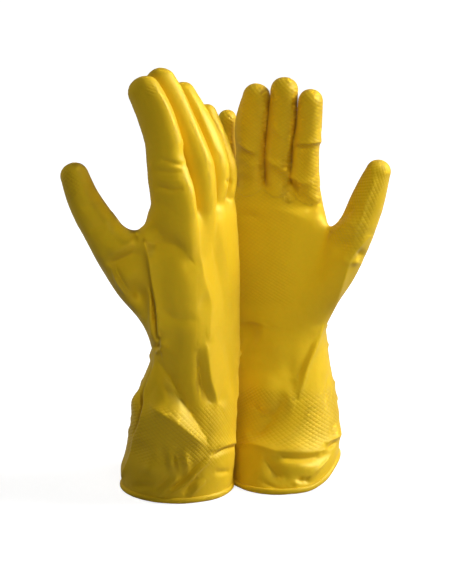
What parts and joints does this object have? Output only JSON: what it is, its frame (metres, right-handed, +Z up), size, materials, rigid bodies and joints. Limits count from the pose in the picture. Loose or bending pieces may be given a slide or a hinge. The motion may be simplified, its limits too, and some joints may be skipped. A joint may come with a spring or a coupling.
{
  "type": "rubber gloves",
  "caption": "Pair of long household rubber gloves standing upright on their cuffs, with rolled beads, flock lining and bending wrists, fingers and thumbs.",
  "frame": {"origin": "on the floor plane, at the middle of the pair's footprint box", "axes": "+Z up along the fingers, +Y from the near glove towards the back, +X to the right, seen from the front"},
  "size_m": [0.2376, 0.126, 0.3111],
  "materials": {
    "latex_skin": "satin yellow dipped latex with an embossed fish-scale grip",
    "rolled_bead": "satin yellow latex rolled into a bead",
    "flock_lining": "matt cotton flock on the inside of the latex"
  },
  "bodies": {
    "near_cuff": {"near_cuff_skin": "latex_skin", "near_cuff_lining": "flock_lining", "near_cuff_bead": "rolled_bead"},
    "near_index_base": {"near_index_base_skin": "latex_skin", "near_index_base_lining": "flock_lining"},
    "near_index_tip": {"near_index_tip_skin": "latex_skin", "near_index_tip_lining": "flock_lining"},
    "near_middle_base": {"near_middle_base_skin": "latex_skin", "near_middle_base_lining": "flock_lining"},
    "near_middle_tip": {"near_middle_tip_skin": "latex_skin", "near_middle_tip_lining": "flock_lining"},
    "near_ring_base": {"near_ring_base_skin": "latex_skin", "near_ring_base_lining": "flock_lining"},
    "near_ring_tip": {"near_ring_tip_skin": "latex_skin", "near_ring_tip_lining": "flock_lining"},
    "near_little_base": {"near_little_base_skin": "latex_skin", "near_little_base_lining": "flock_lining"},
    "near_little_tip": {"near_little_tip_skin": "latex_skin", "near_little_tip_lining": "flock_lining"},
    "near_thumb_base": {"near_thumb_base_skin": "latex_skin", "near_thumb_base_lining": "flock_lining"},
    "near_thumb_tip": {"near_thumb_tip_skin": "latex_skin", "near_thumb_tip_lining": "flock_lining"},
    "near_palm": {"near_palm_skin": "latex_skin", "near_palm_lining": "flock_lining"},
    "far_cuff": {"far_cuff_skin": "latex_skin", "far_cuff_lining": "flock_lining", "far_cuff_bead": "rolled_bead"},
    "far_index_base": {"far_index_base_skin": "latex_skin", "far_index_base_lining": "flock_lining"},
    "far_index_tip": {"far_index_tip_skin": "latex_skin", "far_index_tip_lining": "flock_lining"},
    "far_middle_base": {"far_middle_base_skin": "latex_skin", "far_middle_base_lining": "flock_lining"},
    "far_middle_tip": {"far_middle_tip_skin": "latex_skin", "far_middle_tip_lining": "flock_lining"},
    "far_ring_base": {"far_ring_base_skin": "latex_skin", "far_ring_base_lining": "flock_lining"},
    "far_ring_tip": {"far_ring_tip_skin": "latex_skin", "far_ring_tip_lining": "flock_lining"},
    "far_little_base": {"far_little_base_skin": "latex_skin", "far_little_base_lining": "flock_lining"},
    "far_little_tip": {"far_little_tip_skin": "latex_skin", "far_little_tip_lining": "flock_lining"},
    "far_thumb_base": {"far_thumb_base_skin": "latex_skin", "far_thumb_base_lining": "flock_lining"},
    "far_thumb_tip": {"far_thumb_tip_skin": "latex_skin", "far_thumb_tip_lining": "flock_lining"},
    "far_palm": {"far_palm_skin": "latex_skin", "far_palm_lining": "flock_lining"}
  },
  "joints": [
    {"name": "far_glove_set_aside", "type": "slide", "parent": "near_cuff", "child": "far_cuff", "axis": [0, 1, 0], "range_m": [0, 0.15]},
    {"name": "near_wrist_bend", "type": "hinge", "parent": "near_cuff", "child": "near_palm", "pos_m": [-0.02267, -0.02259, 0.108], "axis": [-0.5736, -0.8192, 0], "range_deg": [-30, 30], "stiffness_Nm_per_rad": 0.12},
    {"name": "near_thumb_root_bend", "type": "hinge", "parent": "near_palm", "child": "near_thumb_base", "pos_m": [-0.07457, -0.04129, 0.172], "axis": [-0.841, -0.2754, -0.4657], "range_deg": [-12, 28], "stiffness_Nm_per_rad": 0.03},
    {"name": "near_thumb_middle_bend", "type": "hinge", "parent": "near_thumb_base", "child": "near_thumb_tip", "pos_m": [-0.09363, -0.04548, 0.207], "axis": [-0.841, -0.2754, -0.4657], "range_deg": [-12, 50], "stiffness_Nm_per_rad": 0.012},
    {"name": "near_index_root_bend", "type": "hinge", "parent": "near_palm", "child": "near_index_base", "pos_m": [-0.04294, -0.04782, 0.237], "axis": [-0.5736, -0.8192, 0], "range_deg": [-20, 55], "stiffness_Nm_per_rad": 0.02},
    {"name": "near_index_middle_bend", "type": "hinge", "parent": "near_index_base", "child": "near_index_tip", "pos_m": [-0.04768, -0.04459, 0.263], "axis": [-0.5736, -0.8192, 0], "range_deg": [-8, 70], "stiffness_Nm_per_rad": 0.008},
    {"name": "near_middle_root_bend", "type": "hinge", "parent": "near_palm", "child": "near_middle_base", "pos_m": [-0.02014, -0.03946, 0.238], "axis": [-0.5736, -0.8192, 0], "range_deg": [-20, 55], "stiffness_Nm_per_rad": 0.02},
    {"name": "near_middle_middle_bend", "type": "hinge", "parent": "near_middle_base", "child": "near_middle_tip", "pos_m": [-0.03117, -0.03174, 0.267], "axis": [-0.5736, -0.8192, 0], "range_deg": [-8, 70], "stiffness_Nm_per_rad": 0.008},
    {"name": "near_ring_root_bend", "type": "hinge", "parent": "near_palm", "child": "near_ring_base", "pos_m": [-0.0091, -0.02315, 0.237], "axis": [-0.5736, -0.8192, 0], "range_deg": [-20, 48], "stiffness_Nm_per_rad": 0.02},
    {"name": "near_ring_middle_bend", "type": "hinge", "parent": "near_ring_base", "child": "near_ring_tip", "pos_m": [-0.01782, -0.01704, 0.264], "axis": [-0.5736, -0.8192, 0], "range_deg": [-8, 70], "stiffness_Nm_per_rad": 0.008},
    {"name": "near_little_root_bend", "type": "hinge", "parent": "near_palm", "child": "near_little_base", "pos_m": [-0.0014, -0.00693, 0.232], "axis": [-0.5736, -0.8192, 0], "range_deg": [-20, 55], "stiffness_Nm_per_rad": 0.02},
    {"name": "near_little_middle_bend", "type": "hinge", "parent": "near_little_base", "child": "near_little_tip", "pos_m": [-0.00733, -0.00278, 0.254], "axis": [-0.5736, -0.8192, 0], "range_deg": [-8, 70], "stiffness_Nm_per_rad": 0.008},
    {"name": "far_wrist_bend", "type": "hinge", "parent": "far_cuff", "child": "far_palm", "pos_m": [0.0387, 0.02707, 0.11], "axis": [0.9659, -0.2588, 0], "range_deg": [-30, 4], "stiffness_Nm_per_rad": 0.12},
    {"name": "far_thumb_root_bend", "type": "hinge", "parent": "far_palm", "child": "far_thumb_base", "pos_m": [0.08842, 0.00137, 0.175], "axis": [0.5642, -0.7188, -0.4062], "range_deg": [-12, 28], "stiffness_Nm_per_rad": 0.03},
    {"name": "far_thumb_middle_bend", "type": "hinge", "parent": "far_thumb_base", "child": "far_thumb_tip", "pos_m": [0.10035, -0.0064, 0.206], "axis": [0.5642, -0.7188, -0.4062], "range_deg": [-12, 50], "stiffness_Nm_per_rad": 0.012},
    {"name": "far_index_root_bend", "type": "hinge", "parent": "far_palm", "child": "far_index_base", "pos_m": [0.05774, 0.0133, 0.238], "axis": [0.9659, -0.2588, 0], "range_deg": [-20, 55], "stiffness_Nm_per_rad": 0.02},
    {"name": "far_index_middle_bend", "type": "hinge", "parent": "far_index_base", "child": "far_index_tip", "pos_m": [0.05935, 0.00874, 0.261], "axis": [0.9659, -0.2588, 0], "range_deg": [-8, 70], "stiffness_Nm_per_rad": 0.008},
    {"name": "far_middle_root_bend", "type": "hinge", "parent": "far_palm", "child": "far_middle_base", "pos_m": [0.03756, 0.01805, 0.238], "axis": [0.9659, -0.2588, 0], "range_deg": [-20, 55], "stiffness_Nm_per_rad": 0.02},
    {"name": "far_middle_middle_bend", "type": "hinge", "parent": "far_middle_base", "child": "far_middle_tip", "pos_m": [0.03968, 0.01285, 0.266], "axis": [0.9659, -0.2588, 0], "range_deg": [-8, 70], "stiffness_Nm_per_rad": 0.008},
    {"name": "far_ring_root_bend", "type": "hinge", "parent": "far_palm", "child": "far_ring_base", "pos_m": [0.01685, 0.02404, 0.237], "axis": [0.9659, -0.2588, 0], "range_deg": [-20, 45], "stiffness_Nm_per_rad": 0.02},
    {"name": "far_ring_middle_bend", "type": "hinge", "parent": "far_ring_base", "child": "far_ring_tip", "pos_m": [0.0179, 0.01858, 0.263], "axis": [0.9659, -0.2588, 0], "range_deg": [-8, 70], "stiffness_Nm_per_rad": 0.008},
    {"name": "far_little_root_bend", "type": "hinge", "parent": "far_palm", "child": "far_little_base", "pos_m": [0.00177, 0.0378, 0.228], "axis": [0.9659, -0.2588, 0], "range_deg": [-20, 32], "stiffness_Nm_per_rad": 0.02},
    {"name": "far_little_middle_bend", "type": "hinge", "parent": "far_little_base", "child": "far_little_tip", "pos_m": [0.00067, 0.03729, 0.247], "axis": [0.9659, -0.2588, 0], "range_deg": [-8, 70], "stiffness_Nm_per_rad": 0.008}
  ]
}
